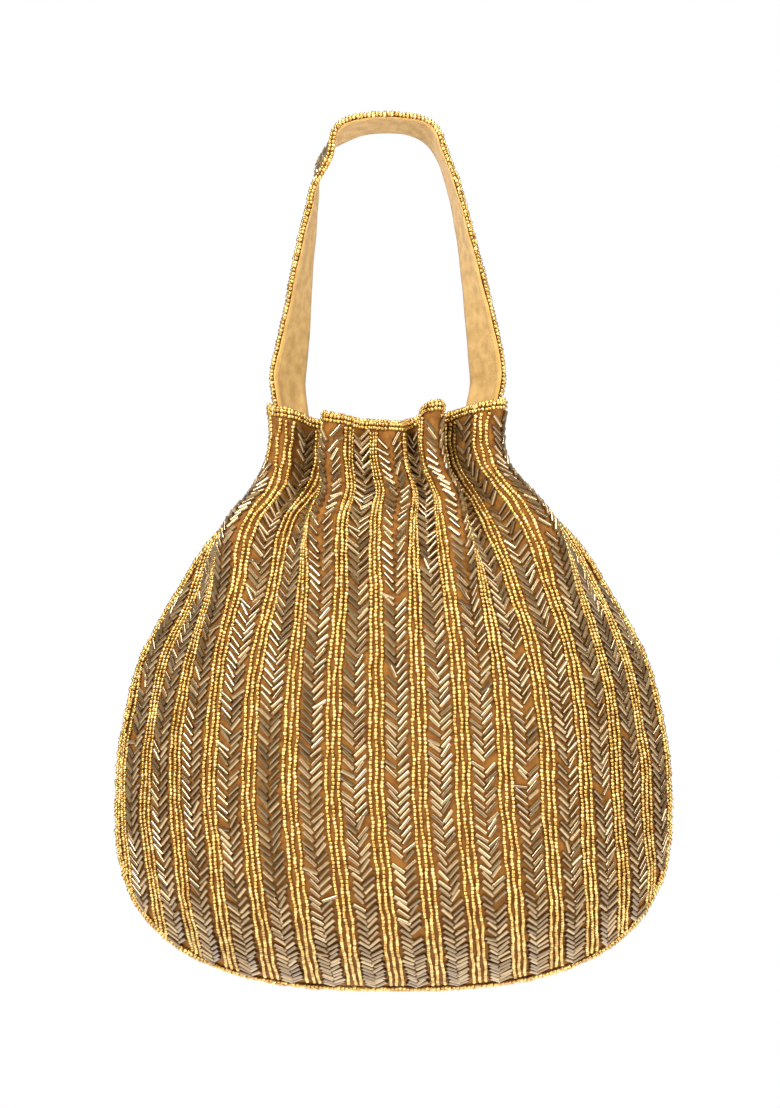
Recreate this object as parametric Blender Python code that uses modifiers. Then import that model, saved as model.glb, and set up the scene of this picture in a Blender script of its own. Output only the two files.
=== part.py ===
"""Beaded potli handbag: a gathered pouch of two sewn panels, with its lining, neck elastic, bead edgings
and strap handle. Metres, +Z up, the front towards -Y. The origin is where the handle hangs on a hook or hand."""

import math

import bmesh
import bpy
import numpy as np
from mathutils import Vector

# Pouch
HALF_WIDTH = 0.1252         # from the middle to the side seam, at the widest height
WIDEST_Z = -0.3066          # height of the widest level
BOTTOM_DROP = 0.0870        # from the widest level down to the bottom seam
CORNER_POWER = 2.6          # superellipse power of the rounded bottom outline
SECTION_POWER = 2.5         # how full a level section of the pouch is
NECK_ROUNDING = 0.4         # how much rounder the section's ends are at the neck
MOUTH_Z = -0.1262           # height of the mouth's edge at the side seams
MOUTH_SAG = 0.0085          # how far the edge dips between the handle's legs
NECK_Z = -0.1555            # the gathers are full from the mouth down to here
GATHER_END_Z = -0.2200      # the gathers have run out here
GATHER_DEPTH = 0.0022       # half the height of a gather
GATHERS = 7                 # folds across one panel
GATHER_FADE = 0.30          # share of half a panel over which the folds die out towards the seams
FRONT_CALM = 0.05           # share of half a panel beside the seam with no folds, on the front
BACK_CALM = 0.42            # the same on the back, where the handle is sewn in

# Half width of the pouch above the widest level, and its depth from the seam to the front, as (height, size)
WIDTH_KNOTS = ((-0.3066, 0.1252), (-0.2750, 0.1225), (-0.2386, 0.1120), (-0.2113, 0.0965), (-0.1932, 0.0850),
               (-0.1751, 0.0690), (-0.1600, 0.0572), (-0.1450, 0.0545), (-0.1200, 0.0545))
DEPTH_KNOTS = ((-0.3066, 0.0550), (-0.2600, 0.0540), (-0.2200, 0.0470), (-0.1900, 0.0365), (-0.1680, 0.0270),
               (-0.1500, 0.0235), (-0.1200, 0.0245))

# Cloth and beads
PANEL_THICKNESS = 0.0022    # ground cloth with its beads
LINING_THICKNESS = 0.0006
LINING_INSET = 0.0060       # from the panel's inner face to the lining's inner face
LINING_EDGE_DROP = 0.0012   # the lining's edge lies this far below the mouth's edge
SEAM_GAP = 0.0003           # half the gap that the two panels keep at their seam
BEAD_RADIUS = 0.0009
CLEARANCE = 0.0003          # between pieces that lie against each other
STRAP_GAP = 0.0005          # between the strap's two layers
ROW_CLEARANCE = 0.0005      # between a row of beads and the cloth under it
SEAM_ROW_CLEARANCE = 0.0017  # the same on the seam edging

# Neck elastic
ELASTIC_WIDTH = 0.0060
ELASTIC_THICKNESS = 0.0008
ELASTIC_INSET = 0.0034      # from the panel's inner face to the middle of the elastic
ELASTIC_Z = -0.1465

# Handle: the middle of the strap above the mouth, from the left side to the right, as (x, y, z)
STRAP_PATH = ((-0.0452, 0.0075, -0.1025), (-0.0422, 0.0060, -0.0840), (-0.0398, 0.0045, -0.0660),
              (-0.0350, 0.0020, -0.0300), (-0.0282, 0.0010, -0.0110), (-0.0165, 0.0000, -0.0003),
              (0.0000, 0.0000, 0.0013), (0.0140, 0.0000, -0.0003), (0.0242, 0.0010, -0.0110),
              (0.0303, 0.0020, -0.0300), (0.0375, 0.0045, -0.0660), (0.0412, 0.0060, -0.0840),
              (0.0442, 0.0075, -0.1025))
# Roll of the strap from edge-on, in degrees, as (height, roll)
ROLL_KNOTS = ((-0.1025, 31.0), (-0.0840, 23.0), (-0.0660, 17.0), (-0.0300, 10.0), (0.0020, 12.0))
STRAP_WIDTH = 0.0250
STRAP_PLACES = (0.0, 0.1, 0.3, 0.5, 0.7, 0.9, 1.0)      # lines along the strap, as shares of its width
STRAP_FACE_THICKNESS = 0.0016
STRAP_LINING_THICKNESS = 0.0007
STRAP_INSET = 0.0026        # of the sewn ends, from the panel's inner face
SEWN_FROM, SEWN_TO = 0.96, 0.60     # places across the back panel of a sewn end's two edges
SEWN_HEIGHTS = (-0.1420, -0.1345, -0.1270)

# Grid of each cloth piece
PANEL_COLUMNS, PANEL_ROWS = 32, 12
LINING_COLUMNS, LINING_ROWS = 22, 11
FREE_STATIONS = 26
TURN_STATIONS = 2           # between the strap's sewn, curved end and its free, flat part


def smooth_value(knots, at):
    """Value at a height on the smooth curve through (height, value) knots, held level past its ends."""
    at = min(max(at, knots[0][0]), knots[-1][0])
    i = max(k for k in range(len(knots) - 1) if knots[k][0] <= at)
    span = knots[i + 1][0] - knots[i][0]

    def slope(k):
        before, after = knots[max(k - 1, 0)], knots[min(k + 1, len(knots) - 1)]
        return (after[1] - before[1]) / (after[0] - before[0])

    s = (at - knots[i][0]) / span
    return ((2 * s**3 - 3 * s**2 + 1) * knots[i][1] + (s**3 - 2 * s**2 + s) * span * slope(i)
            + (3 * s**2 - 2 * s**3) * knots[i + 1][1] + (s**3 - s**2) * span * slope(i + 1))


def ease(x):
    """Smooth step from 0 at x = 0 to 1 at x = 1."""
    x = min(max(x, 0.0), 1.0)
    return x * x * (3 - 2 * x)


def neckness(z):
    """0 below the gathers, rising to 1 at the neck."""
    return ease((z - GATHER_END_Z) / (NECK_Z - GATHER_END_Z))


def half_width(z, inset):
    """Distance from the middle to the side seam at height z, for a skin that lies inset inside the panel."""
    if z >= WIDEST_Z:
        return smooth_value(WIDTH_KNOTS, z) - inset
    drop = min((WIDEST_Z - z) / (BOTTOM_DROP - inset), 1.0)
    return (HALF_WIDTH - inset) * (1 - drop**CORNER_POWER) ** (1 / CORNER_POWER)


def wall_depth(x, z, inset):
    """How far the skin stands in front of the seam plane at (x, z); x may be an array."""
    if z >= WIDEST_Z:
        share = np.abs(x) / half_width(z, inset)
    else:
        drop = (WIDEST_Z - z) / (BOTTOM_DROP - inset)
        share = ((np.abs(x) / (HALF_WIDTH - inset)) ** CORNER_POWER + drop**CORNER_POWER) ** (1 / CORNER_POWER)
    fullness = 1 - np.minimum(share, 1.0) ** SECTION_POWER
    return (smooth_value(DEPTH_KNOTS, z) - inset) * fullness ** (1 - NECK_ROUNDING * neckness(z))


def half_section(z, inset, steps=64):
    """Places across half a level section, and the length of cloth from the middle to each."""
    xs = half_width(z, inset) * np.sin(np.linspace(0, math.pi / 2, steps))
    ys = wall_depth(xs, z, inset)
    return xs, np.concatenate(([0.0], np.cumsum(np.hypot(np.diff(xs), np.diff(ys)))))


def bottom_height(across, inset):
    """Height where the grain line at across, from -1 to 1 over the panel's width, meets the bottom seam."""
    wanted = abs(across) * half_section(WIDEST_Z, inset)[1][-1]
    low, high = WIDEST_Z - BOTTOM_DROP + inset, WIDEST_Z
    for _ in range(24):
        middle = (low + high) / 2
        if half_section(middle, inset)[1][-1] < wanted:
            low = middle
        else:
            high = middle
    return high


def mouth_height(across):
    return MOUTH_Z - MOUTH_SAG * (1 - across * across)


def skin_point(across, z, inset, calm=None):
    """Point of the front skin on the grain line at across, at height z. With calm given, folds push the skin
    in and out; they die out down the pouch and towards the calm strip beside each side seam."""
    xs, lengths = half_section(z, inset)
    fabric = lengths[-1] if z >= WIDEST_Z else half_section(WIDEST_Z, inset)[1][-1]
    x = math.copysign(float(np.interp(abs(across) * fabric, lengths, xs)), across)
    depth = float(wall_depth(x, z, inset))
    fold = 0.0
    if calm is not None:
        fading = ease((1 - calm - abs(across)) / GATHER_FADE)
        fold = GATHER_DEPTH * neckness(z) * fading * math.cos(math.pi * GATHERS * across)
    return Vector((x, -depth - SEAM_GAP - fold, z))


def turned_back(point):
    """The same point on the back of the bag."""
    return Vector((point.x, -point.y, point.z))


def new_material(name, color, roughness, metallic=0.0):
    material = bpy.data.materials.new(name)
    material.use_nodes = True
    shader = material.node_tree.nodes["Principled BSDF"]
    shader.inputs["Base Color"].default_value = (*color, 1.0)
    shader.inputs["Roughness"].default_value = roughness
    shader.inputs["Metallic"].default_value = metallic
    return material


def add_object(name, data, material, collection):
    data.materials.append(material)
    made = bpy.data.objects.new(name, data)
    collection.objects.link(made)
    return made


def add_sheet(name, grid, thickness, material, collection):
    """A sheet of cloth through grid, a list of rows of points. Its thickness grows towards the side from which
    the rows run from left to right and follow each other upwards."""
    rows, columns = len(grid) - 1, len(grid[0]) - 1
    bm = bmesh.new()
    bmesh.ops.create_grid(bm, x_segments=columns, y_segments=rows, size=0.5)
    for vertex in bm.verts:
        vertex.co = grid[round((vertex.co.y + 0.5) * rows)][round((vertex.co.x + 0.5) * columns)]
    mesh = bpy.data.meshes.new(name)
    bm.to_mesh(mesh)
    bm.free()
    mesh.shade_smooth()
    made = add_object(name, mesh, material, collection)
    solidify = made.modifiers.new("thickness", "SOLIDIFY")
    solidify.thickness = thickness
    solidify.offset = 1.0
    return made


def add_row(name, points, closed, material, collection):
    """A row of beads on its thread, as the plain rod that it fills."""
    curve = bpy.data.curves.new(name, "CURVE")
    curve.dimensions = "3D"
    curve.bevel_depth = BEAD_RADIUS
    curve.bevel_resolution = 1
    curve.use_fill_caps = not closed
    spline = curve.splines.new("POLY")
    spline.points.add(len(points) - 1)
    for slot, point in zip(spline.points, points):
        slot.co = (*point, 1.0)
    spline.use_cyclic_u = closed
    return add_object(name, curve, material, collection)


def stations(columns):
    """Places across a panel from -1 to 1, closer together at the sides."""
    even = [2 * k / columns - 1 for k in range(columns + 1)]
    return [0.5 * (e + math.sin(math.pi / 2 * e)) for e in even]


def cloth_grid(columns, rows, inset, drop, calm):
    """Grid of points over the front skin, from the bottom seam up to drop below the mouth's edge."""
    places = stations(columns)
    bottoms = [bottom_height(a, inset) for a in places]
    grid = []
    for r in range(rows + 1):
        rise = 1 - (1 - r / rows) ** 1.15
        grid.append([skin_point(a, low + (mouth_height(a) - drop - low) * rise, inset, calm)
                     for a, low in zip(places, bottoms)])
    return grid


def back_grid(grid):
    """The same sheet on the back, with its rows running the other way so that it still faces outwards."""
    return [[turned_back(p) for p in reversed(row)] for row in grid]


def grid_normals(grid):
    """Outward direction at each point of a grid: the mean over the faces that meet there."""
    normals = [[Vector() for _ in row] for row in grid]
    for r in range(len(grid) - 1):
        for c in range(len(grid[0]) - 1):
            rising, falling = grid[r + 1][c + 1] - grid[r][c], grid[r + 1][c] - grid[r][c + 1]
            facing = rising.cross(falling).normalized()
            for row, column in ((r, c), (r, c + 1), (r + 1, c), (r + 1, c + 1)):
                normals[row][column] += facing
    return [[n.normalized() for n in row] for row in normals]


def seam_line(grid):
    """Round a panel's sewn edge, from the left of its mouth down and up to the right: points in the seam plane,
    their outward directions in that plane, and the panel's own outward directions."""
    normals = grid_normals(grid)
    rim, facing = [
        [row[0] for row in reversed(table[1:-1])] + list(table[0]) + [row[-1] for row in table[1:-1]]
        for table in (grid, normals)]
    line = []
    for k, (point, normal) in enumerate(zip(rim, facing)):
        before, after = rim[max(k - 1, 0)], rim[min(k + 1, len(rim) - 1)]
        outward = Vector((before.z - after.z, 0, after.x - before.x)).normalized() * -1
        line.append((Vector((point.x, 0, point.z)), outward, normal))
    return line


def mouth_loop(front, back, drop):
    """Closed row of beads round the mouth, drop below its edge."""
    lift = PANEL_THICKNESS + ROW_CLEARANCE + BEAD_RADIUS
    loop = []
    for grid in (front, back):
        normals = grid_normals(grid)
        for top, under, normal in list(zip(grid[-1], grid[-2], normals[-1]))[1:-1]:
            down = (under - top).normalized()
            loop.append(top + down * drop + normal * lift)
        seam = grid[-1][-1]
        loop.append(Vector((seam.x + math.copysign(lift, seam.x), 0, seam.z - drop)))
    return loop


def add_elastic(material, collection):
    """Flat elastic round the neck, in the casing between the panels and the lining."""
    front = [skin_point(a, ELASTIC_Z, ELASTIC_INSET) for a in stations(22)[1:-1]]
    loop = front + [turned_back(p) for p in reversed(front)]
    bm = bmesh.new()
    low = [bm.verts.new(p - Vector((0, 0, ELASTIC_WIDTH / 2))) for p in loop]
    edges = [bm.edges.new((a, b)) for a, b in zip(low, low[1:] + low[:1])]
    raised = bmesh.ops.extrude_edge_only(bm, edges=edges)["geom"]
    bmesh.ops.translate(bm, vec=(0, 0, ELASTIC_WIDTH), verts=[g for g in raised if isinstance(g, bmesh.types.BMVert)])
    bmesh.ops.recalc_face_normals(bm, faces=bm.faces)
    mesh = bpy.data.meshes.new("neck_elastic")
    bm.to_mesh(mesh)
    bm.free()
    made = add_object("neck_elastic", mesh, material, collection)
    solidify = made.modifiers.new("thickness", "SOLIDIFY")
    solidify.thickness = ELASTIC_THICKNESS
    solidify.offset = 0.0
    return made


def sewn_rows(side):
    """Stations of the strap's end sewn inside the back of the mouth, from its end up; side is -1 on the left."""
    places = [side * (SEWN_FROM + (SEWN_TO - SEWN_FROM) * share) for share in STRAP_PLACES]
    return [[turned_back(skin_point(a, z, STRAP_INSET)) for a in places] for z in SEWN_HEIGHTS]


def free_rows():
    """Stations of the strap above the mouth, from left to right, each a level run from its front edge back."""
    knots = [Vector(p) for p in STRAP_PATH]
    lengths = [0.0]
    for a, b in zip(knots, knots[1:]):
        lengths.append(lengths[-1] + (b - a).length)
    tracks = [[(s, p[k]) for s, p in zip(lengths, knots)] for k in range(3)]
    places = [lengths[-1] * k / FREE_STATIONS for k in range(FREE_STATIONS + 1)]
    points = [Vector([smooth_value(track, s) for track in tracks]) for s in places]
    rows = []
    for k, point in enumerate(points):
        along = points[min(k + 1, FREE_STATIONS)] - points[max(k - 1, 0)]
        inwards = Vector((along.z, 0, -along.x)).normalized()
        roll = math.radians(smooth_value(ROLL_KNOTS, point.z))
        across = Vector((0, math.cos(roll), 0)) + inwards * math.sin(roll)
        rows.append([point + across * STRAP_WIDTH * (share - 0.5) for share in STRAP_PLACES])
    return rows


def turn_rows(low, high):
    """Stations that turn one row of the strap into the next, from low up to high."""
    shares = [k / (TURN_STATIONS + 1) for k in range(1, TURN_STATIONS + 1)]
    return [[a.lerp(b, t) for a, b in zip(low, high)] for t in shares]


def strap_grid():
    """Grid of the plane between the strap's two layers, from the left sewn end over the top to the right one."""
    left, middle, right = sewn_rows(-1), free_rows(), list(reversed(sewn_rows(1)))
    return left + turn_rows(left[-1], middle[0]) + middle + turn_rows(middle[-1], right[0]) + right


def lifted(grid, lift):
    """The strap's grid moved outwards by lift."""
    return [[p - n * lift for p, n in zip(row, line)] for row, line in zip(grid, grid_normals(grid))]


def build():
    for old in list(bpy.data.objects):
        bpy.data.objects.remove(old, do_unlink=True)
    bag = bpy.data.collections.new("potli_bag")
    bpy.context.scene.collection.children.link(bag)

    beaded = new_material("beaded_cloth", (0.50, 0.29, 0.09), 0.45)
    lining = new_material("lining_cloth", (0.66, 0.42, 0.17), 0.75)
    beads = new_material("gold_beads", (0.80, 0.55, 0.20), 0.25, 0.9)
    rubber = new_material("elastic", (0.80, 0.74, 0.64), 0.8)

    front = cloth_grid(PANEL_COLUMNS, PANEL_ROWS, 0.0, 0.0, FRONT_CALM)
    back = back_grid(cloth_grid(PANEL_COLUMNS, PANEL_ROWS, 0.0, 0.0, BACK_CALM))
    add_sheet("front_panel", front, PANEL_THICKNESS, beaded, bag)
    add_sheet("back_panel", back, PANEL_THICKNESS, beaded, bag)
    inner = cloth_grid(LINING_COLUMNS, LINING_ROWS, LINING_INSET, LINING_EDGE_DROP, None)
    add_sheet("front_lining", inner, LINING_THICKNESS, lining, bag)
    add_sheet("back_lining", back_grid(inner), LINING_THICKNESS, lining, bag)
    add_elastic(rubber, bag)

    strap = strap_grid()
    face = lifted(strap, STRAP_GAP / 2)
    under = [row[1:-1] for row in lifted(strap, -STRAP_GAP / 2)]
    add_sheet("handle_face", [list(reversed(row)) for row in face], STRAP_FACE_THICKNESS, beaded, bag)
    add_sheet("handle_lining", under, STRAP_LINING_THICKNESS, lining, bag)

    row_lift = ROW_CLEARANCE + BEAD_RADIUS
    row_pitch = 2 * BEAD_RADIUS + CLEARANCE
    sewn = len(SEWN_HEIGHTS)
    bead_plane = lifted(face, STRAP_FACE_THICKNESS + row_lift)[sewn:-sewn]
    for edge, first, second in (("front", 0, 2), ("back", -1, -3)):
        for place, reach in (("outer", BEAD_RADIUS), ("inner", BEAD_RADIUS + row_pitch)):
            points = [row[first] + (row[second] - row[first]).normalized() * reach for row in bead_plane]
            add_row(f"handle_{edge}_{place}_bead_row", points, False, beads, bag)

    add_row("mouth_upper_bead_row", mouth_loop(front, back, BEAD_RADIUS), True, beads, bag)
    add_row("mouth_lower_bead_row", mouth_loop(front, back, BEAD_RADIUS + row_pitch), True, beads, bag)
    line = seam_line(front)
    lift = PANEL_THICKNESS + SEAM_ROW_CLEARANCE + BEAD_RADIUS
    seam_front = []
    for point, _, normal in line:
        row_point = point + normal * lift
        row_point.y = min(row_point.y, -row_pitch)
        seam_front.append(row_point)
    add_row("seam_front_bead_row", seam_front, False, beads, bag)
    add_row("seam_back_bead_row", [turned_back(p) for p in seam_front], False, beads, bag)
    add_row("seam_edge_bead_row", [p + outward * lift for p, outward, _ in line], False, beads, bag)


build()
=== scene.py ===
"""Gold beaded potli bag: its gathered cloth, lining, strap and every bead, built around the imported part."""

import math

import bmesh
import bpy
import numpy as np
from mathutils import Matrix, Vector


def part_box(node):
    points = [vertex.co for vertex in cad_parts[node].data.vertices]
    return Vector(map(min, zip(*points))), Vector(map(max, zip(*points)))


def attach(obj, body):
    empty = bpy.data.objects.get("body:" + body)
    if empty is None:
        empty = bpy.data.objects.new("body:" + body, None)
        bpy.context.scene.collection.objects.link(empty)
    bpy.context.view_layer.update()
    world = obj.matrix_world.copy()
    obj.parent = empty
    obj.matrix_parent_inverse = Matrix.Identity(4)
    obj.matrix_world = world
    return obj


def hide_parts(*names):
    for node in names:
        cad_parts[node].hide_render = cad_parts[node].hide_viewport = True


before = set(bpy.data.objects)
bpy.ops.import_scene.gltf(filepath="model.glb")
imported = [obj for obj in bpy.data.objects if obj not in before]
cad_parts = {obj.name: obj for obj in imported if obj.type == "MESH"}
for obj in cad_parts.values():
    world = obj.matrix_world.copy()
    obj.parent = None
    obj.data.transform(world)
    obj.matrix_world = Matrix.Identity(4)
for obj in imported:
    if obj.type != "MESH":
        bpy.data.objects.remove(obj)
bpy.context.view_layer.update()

# ------------ sizes, in metres

PANEL_LOW, PANEL_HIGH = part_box("front_panel")
BOTTOM = PANEL_LOW[2] + 0.0013                      # height of the bottom seam
MOUTH = PANEL_HIGH[2]                               # highest point of the mouth's edge
TALL = MOUTH - BOTTOM
HALF_WIDE = (PANEL_HIGH[0] - PANEL_LOW[0]) / 2
DEEP = -PANEL_LOW[1]

WIDEST_SHARE = 0.306        # height of the widest level, as a share of TALL
WIDEST = BOTTOM + WIDEST_SHARE * TALL
# Outline of the sewn edge above the widest level, as (share of TALL, share of HALF_WIDE)
OUTLINE = ((0.306, 0.985), (0.406, 0.974), (0.473, 0.946), (0.540, 0.911), (0.607, 0.845), (0.674, 0.761),
           (0.7425, 0.668), (0.778, 0.602), (0.811, 0.536), (0.845, 0.476), (0.878, 0.430), (0.912, 0.410),
           (1.000, 0.412))
WIDEST_HALF = HALF_WIDE * OUTLINE[0][1]
CORNER_POWER = 2.7          # of the rounded bottom outline
LEAN_OVER = 0.0034          # the belly hangs this far to the right of the handle's middle
# Depth from the sewn edge to the front, as (share of TALL, share of DEEP)
PROFILE = ((0.306, 0.975), (0.500, 0.960), (0.650, 0.830), (0.765, 0.640), (0.850, 0.480), (0.910, 0.415),
           (1.000, 0.430))
SECTION_POWER = 3.0         # how full the level sections are
NECK_ROUNDING = 0.34        # how much blunter their ends are at the neck
SHOULDER_SHARE, NECK_SHARE = 0.640, 0.875   # heights where the neck's shape starts and is complete
SEAM_GAP = 0.0003           # from the seam plane to a panel's sewn edge

# Embroidery: stripes of three seed rows, with a chevron of bugles between each two
STRIPE = 0.01875            # from stripe to stripe, along the cloth
MIDDLE_STRIPE = 0.40        # the cloth's middle lies this many stripes right of stripe 0
ROW_STEP = 0.00268          # between the seed rows of a stripe
NECK_LEFT, NECK_RIGHT = -4.7, 6.4   # stripes at the neck's left and right seam
# How far the cloth's edges have come in from the widest level to the neck, as (share of TALL, share)
TAPER = ((0.306, 0.0), (0.520, 0.05), (0.674, 0.22), (0.778, 0.50), (0.878, 1.0), (1.000, 1.0))
GRAIN_LEAN = 0.115          # how much the stripes lean below the widest level

# Gathers: places across the cloth, in stripes, where a fold turns, ridge and valley by turns, and how steep
# the cloth stands between each turn and the next, in radians
TURNS = (-8.6, -7.1, -5.9, -4.4, -2.75, -1.5, -0.4, 0.5, 1.5, 2.4, 3.6, 5.4, 7.0, 8.6)
STEEPNESS = (0.9, 1.0, 1.20, 1.50, 1.60, 1.20, 1.05, 1.35, 1.50, 1.95, 1.30, 1.1, 1.0)
FRONT_CALM, BACK_CALM = (0.0, 0.12), (0.34, 0.22)   # where the folds start in from the seams, and fade in
DENT_DEPTH = 0.0011
PUCKER_HEIGHT, PUCKER_DEPTH = -0.163, 0.0005        # of the small puckers at the elastic
# How strongly the cloth is folded, as (share of TALL, strength)
FOLDING = ((0.500, 0.0), (0.580, 0.07), (0.640, 0.22), (0.700, 0.44), (0.760, 0.74), (0.820, 0.97),
           (0.870, 1.0), (1.000, 0.97))
# Dips of the mouth's edge, as (stripes from the middle one, drop below the highest point)
MOUTH_DIPS = ((-4.8, 0.0040), (-4.0, 0.0062), (-2.9, 0.0112), (-2.1, 0.0080), (-1.2, 0.0099), (0.0, 0.0122),
              (1.3, 0.0118), (1.9, 0.0080), (2.4, 0.0036), (3.4, 0.0088), (4.5, 0.0056), (5.4, 0.0028),
              (6.5, 0.0020))
BACK_MOUTH_DIPS = ((-4.8, 0.0020), (-3.9, 0.0070), (-2.8, 0.0122), (0.0, 0.0136), (3.0, 0.0130),
                   (5.2, 0.0080), (6.5, 0.0040))

SEED_WIDE, SEED_LONG, SEED_PITCH = 0.00192, 0.00164, 0.00172
BUGLE_WIDE, BUGLE_LONG, BUGLE_PITCH = 0.00198, 0.0063, 0.0035
# Height of a bead's middle above the cloth, in bead widths
SEED_SEAT, EDGING_SEAT, BUGLE_SEAT = 0.46, 0.45, 0.47
CHEVRON_ANGLE = math.radians(45)
CHEVRON_GAP = 0.0006        # between the lower ends of a chevron's two bugles
# How unevenly the bugles were sewn, as (share of TALL, degrees), and a few that stand quite askew
ODD_ANGLES = ((0.74, 4.0), (0.80, 5.0), (0.86, 9.0), (0.90, 9.0), (0.94, 5.0), (1.0, 4.0))
ASKEW_SHARE, ASKEW_ANGLE = 0.04, math.radians(14)
MISSING_SHARE = 0.012
UNEVEN_PITCH, UNEVEN_GAP = 0.00022, 0.00018
EDGING_WIDTH = 0.0044       # from the sewn edge to where the embroidery starts
BUGLE_EDGING = EDGING_WIDTH - 0.0008
# Least distance of the stripes and the chevrons from the bottom seam and the mouth's edge
SEED_MARGINS, BUGLE_MARGINS = (0.0042, 0.0046), (0.0030, 0.0050)
LOOSE = {"Tilt": 0.45, "Wander": 0.00022}           # of the edgings' beads

CLOTH_THICK, CLOTH_COLUMNS, CLOTH_ROWS = 0.0004, 144, 70
LINING_THICK, LINING_COLUMNS, LINING_ROWS = 0.0003, 96, 38
LINING_INSET, LINING_DROP = 0.0012, 0.0016          # from the panel's face, and from the mouth's edge
LINING_SEAM = 0.0004        # least distance of the lining from the seam plane

# Strap: its middle line from the left end of the free part to the right one, as (x, y, z), with its roll
STRAP_ROUTE = ((-0.0447, 0.0085, -0.1180, 36), (-0.0421, 0.0068, -0.1030, 31), (-0.0396, 0.0055, -0.0866, 23),
               (-0.0374, 0.0040, -0.0685, 16), (-0.0344, 0.0026, -0.0500, 10), (-0.0327, 0.0018, -0.0400, 5),
               (-0.0316, 0.0012, -0.0325, 3), (-0.0294, 0.0008, -0.0240, -9), (-0.0257, 0.0004, -0.0145, -11),
               (-0.0200, 0.0, -0.0064, 12), (-0.0120, 0.0, -0.0034, 10), (0.0010, 0.0, -0.0023, 9),
               (0.0120, 0.0, -0.0034, 10), (0.0200, 0.0, -0.0068, 13), (0.0240, 0.0004, -0.0145, 6),
               (0.0303, 0.0012, -0.0320, 8), (0.0346, 0.0026, -0.0500, 11), (0.0384, 0.0040, -0.0685, 18),
               (0.0416, 0.0055, -0.0866, 26), (0.0443, 0.0068, -0.1030, 33), (0.0462, 0.0085, -0.1180, 36))
STRAP_WIDE = 0.0250
STRAP_STEP = 0.0028         # between its stations
STRAP_FACE = 0.0006         # thickness of its beaded face
STRAP_INSET = 0.0026        # of the sewn ends, from the panel
# Room in the lining for the sewn ends: how much, beyond which share of the half section, and above where
STRAP_ROOM, STRAP_ROOM_SHARE, STRAP_ROOM_HEIGHT = 0.0032, 0.48, -0.1620
SEWN_EDGES = (0.960, 0.600)     # places across the back of the mouth of a sewn end's two edges
SEWN_HEIGHTS = (-0.1500, -0.1460, -0.1420, -0.1380)
HEM_WIDE = 0.0034

rng = np.random.default_rng(11)


# ------------ curves

def smooth(knots):
    """A smooth function through (place, value) knots, held level past its ends; it takes arrays."""
    at = np.array([k[0] for k in knots], float)
    values = np.array([k[1] for k in knots], float)
    slopes = np.gradient(values, at)

    def value(x):
        x = np.clip(x, at[0], at[-1])
        i = np.clip(np.searchsorted(at, x, side="right") - 1, 0, len(at) - 2)
        span = at[i + 1] - at[i]
        s = (x - at[i]) / span
        return ((2 * s**3 - 3 * s**2 + 1) * values[i] + (s**3 - 2 * s**2 + s) * span * slopes[i]
                + (3 * s**2 - 2 * s**3) * values[i + 1] + (s**3 - s**2) * span * slopes[i + 1])
    return value


def ease(x):
    x = np.clip(x, 0.0, 1.0)
    return x * x * (3 - 2 * x)


def distances(points):
    """How far along a line each of its points lies."""
    return np.concatenate([[0], np.cumsum(np.linalg.norm(np.diff(points, axis=0), axis=1))])


def unit(vectors):
    return vectors / np.maximum(np.linalg.norm(vectors, axis=-1, keepdims=True), 1e-12)


outline_share = smooth(OUTLINE)
profile_share = smooth(PROFILE)
taper_share = smooth(TAPER)
fold_strength = smooth(FOLDING)
MOUTH_DIP = {-1: smooth(MOUTH_DIPS), 1: smooth(BACK_MOUTH_DIPS)}
odd_angle = smooth(ODD_ANGLES)


def share_of(z):
    return (z - BOTTOM) / TALL


# ------------ the pouch without folds

def neckness(z):
    return ease((share_of(z) - SHOULDER_SHARE) / (NECK_SHARE - SHOULDER_SHARE))


def middle_x(z):
    """The middle of the pouch at height z: it hangs a little to the right below the neck."""
    return LEAN_OVER * (1 - ease((share_of(z) - 0.76) / 0.12))


def below_widest(z):
    return np.clip((WIDEST - z) / (WIDEST - BOTTOM), 0.0, 1.0)


def half_width(z):
    rounded = WIDEST_HALF * (1 - below_widest(z) ** CORNER_POWER) ** (1 / CORNER_POWER)
    return np.where(z >= WIDEST, HALF_WIDE * outline_share(share_of(z)), rounded)


def wall_depth(x, z):
    """How far the pouch stands in front of the sewn edge, at x from its middle and height z."""
    upper = np.abs(x) / np.maximum(half_width(z), 1e-6)
    powers = (np.abs(x) / WIDEST_HALF) ** CORNER_POWER + below_widest(z) ** CORNER_POWER
    lower = powers ** (1 / CORNER_POWER)
    share = np.minimum(np.where(z >= WIDEST, upper, lower), 1.0)
    fullness = 1 - share**SECTION_POWER
    return DEEP * profile_share(share_of(z)) * fullness ** (1 - NECK_ROUNDING * neckness(z))


SECTION_STEPS = np.sin(np.linspace(0, math.pi / 2, 64))


def section_arcs(z):
    """For each height, places across half a level section, depths there and the length of cloth to them."""
    xs = half_width(z)[:, None] * SECTION_STEPS
    ys = wall_depth(xs, z[:, None])
    steps = np.hypot(np.diff(xs), np.diff(ys))
    return xs, ys, np.concatenate([np.zeros((len(z), 1)), np.cumsum(steps, axis=1)], axis=1)


LEVELS = BOTTOM + TALL * np.linspace(0, 1, 900) ** 1.6
HALF_ARCS = section_arcs(LEVELS)[2][:, -1]


def half_arc(z):
    return np.interp(z, LEVELS, HALF_ARCS)


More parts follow.
